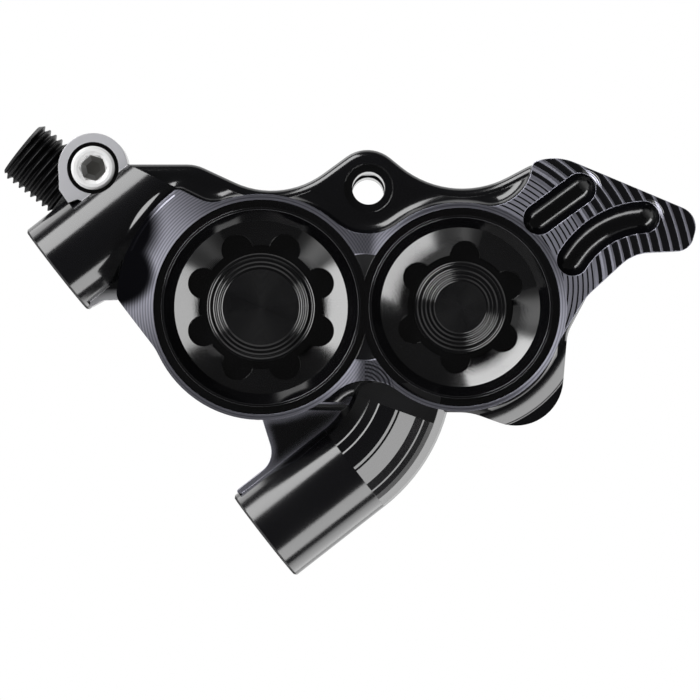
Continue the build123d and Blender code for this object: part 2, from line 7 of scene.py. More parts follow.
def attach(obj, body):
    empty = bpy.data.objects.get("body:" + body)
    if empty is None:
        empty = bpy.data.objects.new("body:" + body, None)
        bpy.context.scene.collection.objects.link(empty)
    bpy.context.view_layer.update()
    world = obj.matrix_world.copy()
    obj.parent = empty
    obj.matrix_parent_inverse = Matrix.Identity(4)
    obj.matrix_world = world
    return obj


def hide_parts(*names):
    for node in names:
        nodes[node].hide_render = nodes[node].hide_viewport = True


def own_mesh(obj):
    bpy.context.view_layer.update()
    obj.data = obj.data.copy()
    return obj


# Looks for a flat-mount bicycle brake caliper.
# The CAD pieces keep their shapes, but the hose fitting gets a real thread. The
# finishes and the marks of machining are made here. Places on the part are in
# millimetres in the plane of the outboard face: u right, v up and depth behind
# the face, from the centre of the large bore. Bevel radii, bump depths, lamps
# and the floor are in metres.

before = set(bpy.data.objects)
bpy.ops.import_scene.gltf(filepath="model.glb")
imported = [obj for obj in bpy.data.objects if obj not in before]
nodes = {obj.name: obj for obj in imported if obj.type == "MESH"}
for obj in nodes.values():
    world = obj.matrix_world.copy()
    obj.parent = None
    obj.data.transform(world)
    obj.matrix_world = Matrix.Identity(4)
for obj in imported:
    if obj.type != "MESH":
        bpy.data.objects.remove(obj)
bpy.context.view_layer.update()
print("frame loaded")

# Where the face's plane stands in the frame, and centres on it, as in the CAD
layout = {
    "tilt": math.radians(52.0),
    "mountU": -10.17,
    "mountV": -9.70,
    "postDepth": 6.3,
    "boreSpacing": 20.0,
    "hookU": 21.0,
    "hookV": 2.0,
    "lugU": -16.9,
    "lugV": 14.0,
    "mm": 0.001,
}
alongU = math.cos(layout["tilt"])
alongV = -math.sin(layout["tilt"])
outU = math.sin(layout["tilt"])
outV = math.cos(layout["tilt"])


def toFrame(u, v, depth):
    x = (u - layout["mountU"]) * alongU + (v - layout["mountV"]) * alongV
    z = (u - layout["mountU"]) * outU + (v - layout["mountV"]) * outV
    return Vector((x, depth - layout["postDepth"], z)) * layout["mm"]


faceX = Vector((alongU, 0, outU))
faceY = Vector((alongV, 0, outV))
faceZ = Vector((0, -1, 0))


# Shader helpers
shading = {
    "bevelSamples": 6,
    "noiseLow": 0.3,
    "noiseHigh": 0.7,
    "grainDetail": 4.0,
    "grainRough": 0.6,
    "fleckDetail": 2.0,
    "plainEdge": 0.0001,
}


def newMaterial(name):
    material = bpy.data.materials.new(name)
    material.use_nodes = True
    tree = material.node_tree
    shader = tree.nodes["Principled BSDF"]
    return material, tree, shader


def mathNode(tree, operation, first, second=None):
    node = tree.nodes.new("ShaderNodeMath")
    node.operation = operation
    for i, value in enumerate((first, second)):
        if value is None:
            continue
        if isinstance(value, (int, float)):
            node.inputs[i].default_value = value
        else:
            tree.links.new(value, node.inputs[i])
    return node.outputs[0]


def chain(tree, operation, values):
    result = values[0]
    for value in values[1:]:
        result = mathNode(tree, operation, result, value)
    return result


def product(tree, *values):
    return chain(tree, "MULTIPLY", values)


def plus(tree, *values):
    return chain(tree, "ADD", values)


def minus(tree, *values):
    return chain(tree, "SUBTRACT", values)


def divided(tree, *values):
    return chain(tree, "DIVIDE", values)


def greatest(tree, *values):
    return chain(tree, "MAXIMUM", values)


def inverse(tree, value):
    return mathNode(tree, "SUBTRACT", 1.0, value)


def above(tree, value, limit):
    return mathNode(tree, "GREATER_THAN", value, limit)


def below(tree, value, limit):
    return mathNode(tree, "LESS_THAN", value, limit)


def bandMask(tree, value, low, high):
    return product(tree, above(tree, value, low), below(tree, value, high))


def vectorNode(tree, operation, first, second):
    # a vector's own node, with a fixed vector or a socket in each place
    node = tree.nodes.new("ShaderNodeVectorMath")
    node.operation = operation
    for i, value in enumerate((first, second)):
        if isinstance(value, Vector):
            node.inputs[i].default_value = value
        elif value is not None:
            tree.links.new(value, node.inputs[i])
    return node


def facePlaneCoordinates(tree):
    # u, v and depth in millimetres, from the object's own coordinates
    coords = tree.nodes.new("ShaderNodeTexCoord")
    outputs = []
    offsets = (
        (faceX, layout["mountU"]),
        (faceY, layout["mountV"]),
        (Vector((0, 1, 0)), layout["postDepth"]),
    )
    for direction, offset in offsets:
        dot = vectorNode(tree, "DOT_PRODUCT", coords.outputs["Object"], direction / layout["mm"])
        outputs.append(plus(tree, dot.outputs["Value"], offset))
    return outputs, coords.outputs["Object"]


def radiusFrom(tree, u, v, centreU, centreV):
    du = minus(tree, u, centreU)
    dv = minus(tree, v, centreV)
    square = plus(tree, product(tree, du, du), product(tree, dv, dv))
    return mathNode(tree, "SQRT", square), du, dv


def waves(tree, value, pitch):
    turns = product(tree, value, 2 * math.pi / pitch)
    return mathNode(tree, "SINE", turns)


def noiseNode(tree, vector, scale, detail=3.0, rough=0.5):
    noise = tree.nodes.new("ShaderNodeTexNoise")
    noise.inputs["Scale"].default_value = scale
    noise.inputs["Detail"].default_value = detail
    noise.inputs["Roughness"].default_value = rough
    tree.links.new(vector, noise.inputs["Vector"])
    return noise.outputs["Fac"]


def rampNode(tree, value, low, high, outLow, outHigh):
    node = tree.nodes.new("ShaderNodeMapRange")
    node.inputs["From Min"].default_value = low
    node.inputs["From Max"].default_value = high
    node.inputs["To Min"].default_value = outLow
    node.inputs["To Max"].default_value = outHigh
    tree.links.new(value, node.inputs["Value"])
    return node.outputs["Result"]


def smoothStep(tree, value, low, high):
    step = rampNode(tree, value, low, high, 0.0, 1.0)
    step.node.interpolation_type = "SMOOTHSTEP"
    return step


def bumpNode(tree, height, distance, normal):
    bump = tree.nodes.new("ShaderNodeBump")
    bump.inputs["Distance"].default_value = distance
    bump.inputs["Strength"].default_value = 1.0
    tree.links.new(height, bump.inputs["Height"])
    tree.links.new(normal, bump.inputs["Normal"])
    return bump.outputs["Normal"]


def bevelNode(tree, radius):
    bevel = tree.nodes.new("ShaderNodeBevel")
    bevel.samples = shading["bevelSamples"]
    bevel.inputs["Radius"].default_value = radius
    return bevel.outputs["Normal"]


def edgeMask(tree, radius, sharp=0.90, soft=0.98):
    # 1 along sharp edges, where the rounded normal leaves the true one
    geometry = tree.nodes.new("ShaderNodeNewGeometry")
    dot = vectorNode(tree, "DOT_PRODUCT", bevelNode(tree, radius), geometry.outputs["True Normal"])
    return rampNode(tree, dot.outputs["Value"], sharp, soft, 1.0, 0.0)


def facingMask(tree, least):
    # 1 where a surface faces out of the outboard side, by its cosine
    coords = tree.nodes.new("ShaderNodeTexCoord")
    dot = vectorNode(tree, "DOT_PRODUCT", coords.outputs["Normal"], faceZ)
    return above(tree, dot.outputs["Value"], least)


def mixColour(tree, factor, first, second):
    mix = tree.nodes.new("ShaderNodeMix")
    mix.data_type = "RGBA"
    for socket, colour in ((mix.inputs[6], first), (mix.inputs[7], second)):
        if isinstance(colour, tuple):
            socket.default_value = (*colour, 1)
        else:
            tree.links.new(colour, socket)
    tree.links.new(factor, mix.inputs[0])
    return mix.outputs[2]


def mixVector(tree, factor, first, second):
    mix = tree.nodes.new("ShaderNodeMix")
    mix.data_type = "VECTOR"
    tree.links.new(factor, mix.inputs[0])
    tree.links.new(first, mix.inputs[4])
    tree.links.new(second, mix.inputs[5])
    return mix.outputs[1]


def radialTangent(tree, du, dv, offset):
    # the direction out from a centre, in the frame's own axes, turned by an
    # offset in degrees; highlights on turned faces stretch along it
    cosine, sine = math.cos(math.radians(offset)), math.sin(math.radians(offset))
    tangent = tree.nodes.new("ShaderNodeCombineXYZ")
    for i in range(3):
        forU = faceX[i] * cosine + faceY[i] * sine
        forV = faceY[i] * cosine - faceX[i] * sine
        along = product(tree, du, forU)
        across = product(tree, dv, forV)
        tree.links.new(plus(tree, along, across), tangent.inputs[i])
    return vectorNode(tree, "NORMALIZE", tangent.outputs[0], None).outputs[0]


def leaningNormal(tree, du, dv, slope, turn):
    # the outboard side's normal, leaned along the direction out from a centre
    # turned by some degrees; the lean's tangent is the slope
    lean = vectorNode(tree, "SCALE", radialTangent(tree, du, dv, turn), None)
    tree.links.new(slope, lean.inputs["Scale"])
    leaned = vectorNode(tree, "ADD", lean.outputs[0], faceZ)
    return vectorNode(tree, "NORMALIZE", leaned.outputs[0], None).outputs[0]


def smudgedRoughness(tree, place, look):
    # a roughness that wanders a little, as on handled metal
    smudge = noiseNode(tree, place, look["smudgeScale"], look["smudgeDetail"])
    limits = (shading["noiseLow"], shading["noiseHigh"])
    low, high = look["smudge"]
    return rampNode(tree, smudge, *limits, look["roughness"] + low, look["roughness"] + high)


def setFinish(shader, colour, metallic, roughness):
    shader.inputs["Base Color"].default_value = (*colour, 1)
    shader.inputs["Metallic"].default_value = metallic
    shader.inputs["Roughness"].default_value = roughness


# The hook: flutes about one centre, with pale crests painted as highlights on a falling slope
hookLook = {
    "left": 21.5,
    "bottom": -6.0,
    "ring": 10.62,
    "start": 12.5,
    "pitch": 1.0,
    "run": 12.0,
    "drop": 2.2,
    "dropPower": 1.5,
    "slack": 0.19,
    "facing": 0.7,
    "nearPitch": 0.5,
    "widen": 3.0,
    "nearDark": 0.16,
    "tipDark": 0.36,
    "rim": 0.00016,
}


def hookArea(tree, u, v, depth, reach, smallR):
    # the hook's fluted slope, without its slots
    look = hookLook
    past = greatest(tree, minus(tree, reach, look["start"]), 0.0)
    run = divided(tree, past, look["run"])
    fall = product(tree, mathNode(tree, "POWER", run, look["dropPower"]), look["drop"])
    over = minus(tree, depth, fall)
    return product(
        tree,
        above(tree, u, look["left"]),
        above(tree, v, look["bottom"]),
        above(tree, smallR, look["ring"]),
        below(tree, over, look["slack"]),
        facingMask(tree, look["facing"]),
    )


def hookCrestHighlights(tree, reach):
    # 1 on the crests between flutes, painted pale as highlights: wide apart and thin
    # towards the tip, close and broad beside the ring
    look = hookLook
    past = minus(tree, reach, look["start"])
    edges = []
    for pitch in (look["pitch"], look["nearPitch"]):
        # 0 in the middle of a flute and a half at its edges
        phase = mathNode(tree, "FRACT", divided(tree, past, pitch))
        edges.append(mathNode(tree, "ABSOLUTE", minus(tree, phase, 0.5)))
    width = rampNode(tree, past, 0.0, look["widen"], look["nearDark"], look["tipDark"])
    tip = above(tree, edges[0], width)
    near = above(tree, edges[1], look["nearDark"])
    isTip = above(tree, past, 0.0)
    return plus(tree, product(tree, tip, isTip), product(tree, near, inverse(tree, isTip)))


# The bend of the lower post, in millimetres: offsets across the tube as shares
# of its radius, each flat with the tangent of its lean away from the centre
bendLook = {
    "centre": (1.275, -5.834),
    "radius": 13.0,
    "tube": 5.1,
    "top": -7.6,
    "front": 0.7,
    "back": 7.0,
    "start": 11.4,
    "endSlope": 0.364,
    "endLean": -0.2,
    "flats": [
        (-0.80, -0.56, -0.25),
        (-0.56, -0.53, -0.60),
        (-0.53, -0.36, -0.20),
        (-0.36, -0.33, -0.60),
        (-0.33, 0.0, 0.0),
        (0.0, 0.05, 0.60),
        (0.05, 0.09, 0.15),
        (0.09, 0.42, 0.60),
        (0.42, 0.58, 0.90),
        (0.58, 0.61, 0.60),
        (0.61, 0.72, 0.93),
        (0.72, 0.80, 1.05),
    ],
}


def postReach(tree):
    # millimetres up from the mounting face
    coords = tree.nodes.new("ShaderNodeTexCoord")
    parts = tree.nodes.new("ShaderNodeSeparateXYZ")
    tree.links.new(coords.outputs["Object"], parts.inputs[0])
    return divided(tree, parts.outputs["Z"], layout["mm"])


def bendNormal(tree, u, v, depth, normal):
    # the flats of the lower post's bend, leaned so that one is bright and the
    # rest stay dark up to the pale rim
    look = bendLook
    radius, du, dv = radiusFrom(tree, u, v, *look["centre"])
    offset = divided(tree, minus(tree, radius, look["radius"]), look["tube"])
    past = above(tree, divided(tree, dv, du), -look["endSlope"])
    slope = 0.0
    for low, high, lean in look["flats"]:
        slope = plus(tree, product(tree, bandMask(tree, offset, low, high), lean), slope)
    endSlope = product(tree, past, look["endLean"])
    slope = plus(tree, product(tree, slope, inverse(tree, past)), endSlope)
    area = product(
        tree,
        bandMask(tree, offset, look["flats"][0][0], look["flats"][-1][1]),
        below(tree, v, look["top"]),
        bandMask(tree, depth, look["front"], look["back"]),
        above(tree, postReach(tree), look["start"]),
    )
    return mixVector(tree, area, normal, leaningNormal(tree, du, dv, slope, 0))


# A painted reflection of the pale surroundings along the lower web's rounded outline
webLook = {
    "right": 20.0,
    "top": -9.0,
    "front": 3.9,
    "back": 4.8,
    "facing": 0.97,
    "round": 0.0014,
    "sharp": 0.80,
    "soft": 0.995,
}


def webEdgeReflections(tree, u, v, depth):
    look = webLook
    area = product(
        tree,
        below(tree, u, look["right"]),
        below(tree, v, look["top"]),
        bandMask(tree, depth, look["front"], look["back"]),
        facingMask(tree, look["facing"]),
    )
    return product(tree, area, edgeMask(tree, look["round"], look["sharp"], look["soft"]))


# The soft run from the face plate onto the upper post: a bright crescent
# between a circle and a chord, a thin line beside it about the large bore, and
# a pale fillet below, a painted highlight
runLook = {
    "circle": (-5.99, 4.93),
    "radius": 8.04,
    "chordTurn": 140.5,
    "chordReach": 14.8,
    "soft": 0.35,
    "slope": 0.60,
    "line": (14.02, 14.20),
    "right": -8.6,
    "bottom": 5.6,
    "deepest": 9.0,
    "facing": 0.1,
    "filletFacing": 0.9,
    "filletFrom": (-17.9, -14.1),
    "filletTop": (1.9, 0.9),
    "filletDepths": (3.9, 4.4),
}


def runNormal(tree, u, v, depth, radius, du, dv, normal):
    look = runLook
    circleR = radiusFrom(tree, u, v, *look["circle"])[0]
    turn = math.radians(look["chordTurn"])
    along = product(tree, u, math.cos(turn))
    beyond = plus(tree, along, product(tree, v, math.sin(turn)))
    inCircle = rampNode(tree, circleR, look["radius"] - look["soft"], look["radius"], 1.0, 0.0)
    chord = look["chordReach"]
    pastChord = rampNode(tree, beyond, chord, chord + look["soft"], 0.0, 1.0)
    area = product(
        tree,
        greatest(tree, product(tree, inCircle, pastChord), bandMask(tree, radius, *look["line"])),
        below(tree, u, look["right"]),
        above(tree, v, look["bottom"]),
        below(tree, depth, look["deepest"]),
        facingMask(tree, look["facing"]),
    )
    slope = product(tree, area, look["slope"])
    return mixVector(tree, area, normal, leaningNormal(tree, du, dv, slope, 0))


def runFilletHighlight(tree, u, v, depth):
    look = runLook
    return product(
        tree,
        bandMask(tree, u, *look["filletFrom"]),
        rampNode(tree, v, *look["filletTop"], 0.0, 1.0),
        bandMask(tree, depth, *look["filletDepths"]),
        facingMask(tree, look["filletFacing"]),
    )


# The lobe at the lower right: bands about the small bore, from and to a radius,
# each with the tangents of its lean at both
lobeLook = {
    "left": 22.0,
    "top": -3.4,
    "front": 0.12,
    "back": 9.0,
    "facing": 0.1,
    "bands": [
        (10.9, 11.2, 0.0, 0.0),
        (11.2, 12.2, 0.30, 0.58),
        (12.2, 12.62, 0.58, 0.66),
        (12.62, 12.72, 0.0, 0.0),
        (12.72, 12.80, 0.60, 0.60),
        (12.80, 16.0, -0.12, -0.12),
    ],
}


def lobeNormal(tree, u, v, depth, radius, du, dv, normal):
    look = lobeLook
    slope = 0.0
    for low, high, nearLean, farLean in look["bands"]:
        lean = rampNode(tree, radius, low, high, nearLean, farLean)
        slope = plus(tree, product(tree, bandMask(tree, radius, low, high), lean), slope)
    area = product(
        tree,
        bandMask(tree, radius, look["bands"][0][0], look["bands"][-1][1]),
        above(tree, u, look["left"]),
        below(tree, v, look["top"]),
        bandMask(tree, depth, look["front"], look["back"]),
        facingMask(tree, look["facing"]),
    )
    return mixVector(tree, area, normal, leaningNormal(tree, du, dv, slope, 0))


# The polished run-outs at the slots' outer ends, striped by the cutter
slotLook = {
    "ends": [(32.35, 12.0), (38.7, 9.05)],
    "radii": (1.22, 1.74),
    "facing": 0.5,
    "middle": 35.0,
    "spread": 60.0,
    "pitch": 0.21,
    "slopes": (0.25, 0.72),
    "turn": 100.0,
}


def slotNormal(tree, u, v, normal):
    look = slotLook
    middle = math.radians(look["middle"])
    for centre in look["ends"]:
        radius, du, dv = radiusFrom(tree, u, v, *centre)
        along = product(tree, du, math.cos(middle))
        outward = plus(tree, along, product(tree, dv, math.sin(middle)))
        least = math.cos(math.radians(look["spread"]))
        area = product(
            tree,
            bandMask(tree, radius, *look["radii"]),
            above(tree, divided(tree, outward, radius), least),
            facingMask(tree, look["facing"]),
        )
        stripes = rampNode(tree, waves(tree, radius, look["pitch"]), -1.0, 1.0, *look["slopes"])
        normal = mixVector(tree, area, normal, leaningNormal(tree, du, dv, stripes, look["turn"]))
    return normal


# Black anodised body: glossy walls, and faces facing the viewer that keep the
# cutter's arcs, about the large bore on the left and the small one on the right;
# pale edges, crests and the web's outline are painted highlights
anodised = {
    "colour": (0.0035, 0.0035, 0.0045),
    "ior": 1.75,
    "roughness": 0.15,
    "smudgeScale": 90.0,
    "smudgeDetail": 2.0,
    "smudge": (-0.03, 0.04),
    "edge": 0.00012,
    "plateRimHighlight": 0.00010,
    "rimReach": (11.3, 10.6),
    "rimLeft": -10.5,
    "speckScale": 4200,
    "speckDepth": 0.0000013,
    "frontDepth": 0.05,
    "frontFacing": 0.7,
    "dishBlend": (8.3, 12.7),
    "faceColour": (0.42, 0.42, 0.49),
    "faceRoughness": 0.5,
    "turned": 0.85,
    "tangentTurn": -25,
    "lineDark": 0.52,
    "arcPitch": 0.27,
    "neckShade": [
        ((-14.6, 3.4), (2.8, 4.4)),
        ((-14.6, 8.0), (3.4, 5.4)),
        ((-13.6, 3.3), (2.2, 3.4)),
    ],
    "scallop": (10.4, -8.3),
    "scallopReach": 2.9,
    "scallopDark": 0.2,
    "scallopEdge": 0.6,
    "scallopPitch": 0.38,
    "lugAndFilletHighlightColour": (0.66, 0.66, 0.69),
    "lugRoughness": 0.42,
    "lugMetal": 0.4,
    "lugRadius": 4.6,
    "lugDepth": 3.04,
    "lugFront": 2.95,
    "lugFacing": 0.99,
}


def faceShade(tree, u, v, largeR, smallR, left, right):
    # the cutter's arcs painted as fine light and dark lines for the shade in their grooves,
    # dark beside the neck as painted shade, with a few scallops at the foot of the dish painted the
    # same way
    look = anodised
    lines = []
    for radius, share in ((largeR, left), (smallR, right)):
        arcs = waves(tree, radius, look["arcPitch"])
        lines.append(product(tree, rampNode(tree, arcs, -1.0, 1.0, look["lineDark"], 1.0), share))
    mixed = plus(tree, *lines)
    for centre, fade in look["neckShade"]:
        neckR = radiusFrom(tree, u, v, *centre)[0]
        mixed = product(tree, mixed, smoothStep(tree, neckR, *fade))
    scallopR = radiusFrom(tree, u, v, *look["scallop"])[0]
    inside = product(
        tree,
        below(tree, scallopR, look["scallopReach"]),
        above(tree, u, look["scallop"][0]),
    )
    edge = look["scallopEdge"]
    ripples = waves(tree, scallopR, look["scallopPitch"])
    scallops = rampNode(tree, ripples, -edge, edge, look["scallopDark"], 1.0)
    shown = plus(tree, product(tree, inside, scallops), inverse(tree, inside))
    return product(tree, mixed, shown)


def bodyMaterial():
    look = anodised
    material, tree, shader = newMaterial("AnodisedBody")
    setFinish(shader, look["colour"], 0.0, look["roughness"])
    shader.inputs["IOR"].default_value = look["ior"]
    (u, v, depth), place = facePlaneCoordinates(tree)
    largeR, largeU, largeV = radiusFrom(tree, u, v, 0, 0)
    smallR, smallU, smallV = radiusFrom(tree, u, v, layout["boreSpacing"], 0)
    right = smoothStep(tree, u, *look["dishBlend"])
    left = inverse(tree, right)
    turn = look["tangentTurn"]
    largeTangent = radialTangent(tree, largeU, largeV, turn)
    smallTangent = radialTangent(tree, smallU, smallV, turn)
    tangent = mixVector(tree, right, largeTangent, smallTangent)
    tree.links.new(tangent, shader.inputs["Tangent"])

    shallow = below(tree, depth, look["frontDepth"])
    front = product(tree, shallow, facingMask(tree, look["frontFacing"]))
    reach = radiusFrom(tree, u, v, layout["hookU"], layout["hookV"])[0]
    hook = hookArea(tree, u, v, depth, reach, smallR)
    bare = product(tree, front, inverse(tree, hook))
    # painted highlights: pale lines along the hook's edges and the plate's outer edges, and the
    # hook's pale crests
    rims = product(tree, hook, edgeMask(tree, hookLook["rim"]))
    plateRimHighlights = product(
        tree,
        edgeMask(tree, look["plateRimHighlight"]),
        below(tree, depth, look["plateRimHighlight"] / layout["mm"]),
        above(tree, largeR, look["rimReach"][0]),
        above(tree, smallR, look["rimReach"][1]),
        above(tree, u, look["rimLeft"]),
    )
    paintedHighlights = greatest(tree, product(tree, hook, hookCrestHighlights(tree, reach)), rims, plateRimHighlights)
    shade = faceShade(tree, u, v, largeR, smallR, left, right)
    # face: bare faces plus the painted highlights and reflection, all in the pale face metal
    face = greatest(tree, bare, paintedHighlights, webEdgeReflections(tree, u, v, depth))

    # the bleed lug's pale face; the run's fillet is painted pale with it as a highlight
    lugR = radiusFrom(tree, u, v, layout["lugU"], layout["lugV"])[0]
    lugAndFilletHighlight = product(
        tree,
        below(tree, lugR, look["lugRadius"]),
        bandMask(tree, depth, look["lugFront"], look["lugDepth"]),
        facingMask(tree, look["lugFacing"]),
    )
    lugAndFilletHighlight = greatest(tree, lugAndFilletHighlight, runFilletHighlight(tree, u, v, depth))
    speck = noiseNode(tree, place, look["speckScale"])
    fine = bumpNode(tree, speck, look["speckDepth"], bevelNode(tree, look["edge"]))
    leaned = bendNormal(tree, u, v, depth, fine)
    leaned = runNormal(tree, u, v, depth, largeR, largeU, largeV, leaned)
    leaned = lobeNormal(tree, u, v, depth, smallR, smallU, smallV, leaned)
    leaned = slotNormal(tree, u, v, leaned)
    tree.links.new(leaned, shader.inputs["Normal"])
    tree.links.new(product(tree, bare, look["turned"]), shader.inputs["Anisotropic"])
    wall = smudgedRoughness(tree, place, look)
    extra = product(tree, face, look["faceRoughness"] - look["roughness"])
    more = product(tree, lugAndFilletHighlight, look["lugRoughness"] - look["roughness"])
    tree.links.new(plus(tree, wall, extra, more), shader.inputs["Roughness"])
    metal = greatest(tree, face, product(tree, lugAndFilletHighlight, look["lugMetal"]))
    tree.links.new(metal, shader.inputs["Metallic"])
    # colour factor: painted shade on the bare faces, and painted highlights and reflections at the
    # full pale colour
    shaded = plus(tree, product(tree, bare, shade), minus(tree, face, bare))
    colour = mixColour(tree, shaded, look["colour"], look["faceColour"])
    colour = mixColour(tree, lugAndFilletHighlight, colour, look["lugAndFilletHighlightColour"])
    tree.links.new(colour, shader.inputs["Base Color"])
    return material


# Caps: gloss black with a turned bowl floor, whose fine lines lean the light
# to two crescents, and rings on the island; the rim edges carry a painted highlight
capFinish = {
    "colour": (0.003, 0.003, 0.0035),
    "ior": 1.7,
    "roughness": 0.12,
    "smudgeScale": 260.0,
    "smudgeDetail": 3.0,
    "smudge": (-0.03, 0.04),
    "edge": 0.0001,
    "facing": 0.97,
    "floorRoughness": 0.15,
    "floorDepths": (2.15, 2.35),
    "floorSlope": -0.6,
    "floorShare": (0.40, 0.72),
    "islandSlope": 0.5,
    "islandPitch": 0.42,
    "faceSlope": 0.34,
    "facePitch": 0.11,
    "rim": 0.00009,
    "rimDepth": 0.6,
    "rimColour": (0.16, 0.16, 0.17),
    "scratchPitch": 0.13,
    "scratchSlope": 0.07,
    "caps": {
        "large": {
            "centreU": 0.0,
            "islandR": 5.4,
            "faceR": 3.8,
            "turn": -44,
            "axis": 0,
            "shift": (0.0, 0.0),
            "floorIor": 1.9,
        },
        "small": {
            "centreU": layout["boreSpacing"],
            "islandR": 4.6,
            "faceR": 2.6,
            "turn": 1,
            "axis": -46,
            "shift": (-1.13, -1.09),
            "floorIor": 2.0,
        },
    },
}


def capMaterial(name, size):
    finish = capFinish
    cap = finish["caps"][size]
    material, tree, shader = newMaterial(name)
    setFinish(shader, finish["colour"], 0.0, finish["roughness"])
    shader.inputs["IOR"].default_value = finish["ior"]
    (u, v, depth), place = facePlaneCoordinates(tree)
    radius, du, dv = radiusFrom(tree, u, v, cap["centreU"], 0)
    facing = facingMask(tree, finish["facing"])
    floor = product(tree, facing, bandMask(tree, depth, *finish["floorDepths"]))
    ring = bandMask(tree, radius, cap["faceR"], cap["islandR"])
    island = product(tree, facing, ring, inverse(tree, floor))
    face = product(tree, facing, below(tree, radius, cap["faceR"]))

    # the floor leans only near its crescents' axis, about a centre of its own
    axis = math.radians(cap["axis"])
    alongAxis = plus(tree, product(tree, du, math.cos(axis)), product(tree, dv, math.sin(axis)))
    nearAxis = divided(tree, mathNode(tree, "ABSOLUTE", alongAxis), radius)
    scratch = product(tree, waves(tree, radius, finish["scratchPitch"]), finish["scratchSlope"])
    floorSlope = plus(tree, scratch, finish["floorSlope"])
    floorSlope = product(tree, floorSlope, smoothStep(tree, nearAxis, *finish["floorShare"]))
    floorU = minus(tree, du, cap["shift"][0])
    floorV = minus(tree, dv, cap["shift"][1])
    floorLean = leaningNormal(tree, floorU, floorV, floorSlope, cap["turn"])

    islandSlope = product(tree, waves(tree, radius, finish["islandPitch"]), finish["islandSlope"])
    faceSlope = product(tree, waves(tree, radius, finish["facePitch"]), finish["faceSlope"])
    ringSlope = plus(tree, product(tree, islandSlope, island), product(tree, faceSlope, face))
    ringLean = leaningNormal(tree, du, dv, ringSlope, cap["turn"])
    turned = greatest(tree, floor, island, face)
    lean = mixVector(tree, floor, ringLean, floorLean)
    normal = mixVector(tree, turned, bevelNode(tree, finish["edge"]), lean)
    tree.links.new(normal, shader.inputs["Normal"])

    # a painted highlight: thin pale metal along the cap's rim edges
    rims = product(tree, edgeMask(tree, finish["rim"]), below(tree, depth, finish["rimDepth"]))
    colour = mixColour(tree, rims, finish["colour"], finish["rimColour"])
    tree.links.new(colour, shader.inputs["Base Color"])
    tree.links.new(rims, shader.inputs["Metallic"])
    rough = smudgedRoughness(tree, place, finish)
    extra = product(tree, turned, finish["floorRoughness"] - finish["roughness"])
    tree.links.new(plus(tree, rough, extra), shader.inputs["Roughness"])
    ior = rampNode(tree, floor, 0, 1, finish["ior"], cap["floorIor"])
    tree.links.new(ior, shader.inputs["IOR"])
    return material


# Turned pieces: pistons and the bleed screw, whose socket is painted with light and
# shade as six walls round a darker floor
turnedFinish = {
    "piston": {
        "colour": (0.14, 0.12, 0.10),
        "metallic": 0.0,
        "roughness": 0.25,
        "faceRoughness": 0.32,
        "turned": 0.6,
        "facing": 0.8,
        "edge": 0.00008,
        "pitch": 0.2,
        "depth": 0.0000005,
    },
    "screw": {
        # near white: a painted reflection of the polished steel head
        "colour": (0.92, 0.92, 0.92),
        "metallic": 0.10,
        "roughness": 0.14,
        "faceRoughness": 0.30,
        "turned": 0.3,
        "facing": 0.8,
        "edge": 0.00008,
        "pitch": 0.12,
        "depth": 0.0000003,
        "socketFrom": 2.98,
        "socketShadeColour": (0.34, 0.33, 0.31),
        "socketMetal": 1.0,
        "hexHalf": 1.17,
        "hexFloor": 0.66,
        "hexTurn": 12,
        "hexSlack": 0.001,
        "wallLightShares": (0.10, 0.16, 0.50, 0.75, 0.42, 0.14),
    },
}


def hexagonWallLight(tree, du, dv, finish):
    # the socket's hexagon, and the painted light and shade on each of its walls
    reaches = []
    count = len(finish["wallLightShares"])
    for i in range(count):
        angle = math.radians(360 / count * i + finish["hexTurn"])
        along = product(tree, du, math.cos(angle))
        across = product(tree, dv, math.sin(angle))
        reaches.append(plus(tree, along, across))
    furthest = greatest(tree, *reaches)
    paintedWallLight = 0.0
    for reach, shade in zip(reaches, finish["wallLightShares"]):
        chosen = above(tree, reach, minus(tree, furthest, finish["hexSlack"]))
        paintedWallLight = greatest(tree, product(tree, chosen, shade), paintedWallLight)
    paintedWallLight = product(tree, paintedWallLight, above(tree, furthest, finish["hexFloor"]))
    return below(tree, furthest, finish["hexHalf"]), paintedWallLight


def turnedMaterial(name, kind, centreU, centreV):
    finish = turnedFinish[kind]
    material, tree, shader = newMaterial(name)
    setFinish(shader, finish["colour"], finish["metallic"], finish["roughness"])
    u, v, depth = facePlaneCoordinates(tree)[0]
    radius, du, dv = radiusFrom(tree, u, v, centreU, centreV)
    face = facingMask(tree, finish["facing"])
    rings = product(tree, waves(tree, radius, finish["pitch"]), face)
    normal = bumpNode(tree, rings, finish["depth"], bevelNode(tree, finish["edge"]))
    tree.links.new(normal, shader.inputs["Normal"])
    tree.links.new(radialTangent(tree, du, dv, 0), shader.inputs["Tangent"])
    tree.links.new(product(tree, face, finish["turned"]), shader.inputs["Anisotropic"])
    rough = rampNode(tree, face, 0, 1, finish["roughness"], finish["faceRoughness"])
    tree.links.new(rough, shader.inputs["Roughness"])
    if "socketFrom" in finish:
        hexagon, paintedWallLight = hexagonWallLight(tree, du, dv, finish)
        socket = product(tree, hexagon, above(tree, depth, finish["socketFrom"]))
        metal = rampNode(tree, socket, 0, 1, finish["metallic"], finish["socketMetal"])
        tree.links.new(metal, shader.inputs["Metallic"])
        # painted light and shade: each wall lit or shaded by its share, round the darker floor
        inside = mixColour(tree, paintedWallLight, finish["socketShadeColour"], (1.0, 1.0, 1.0))
        colour = mixColour(tree, socket, finish["colour"], inside)
        tree.links.new(colour, shader.inputs["Base Color"])
    return material


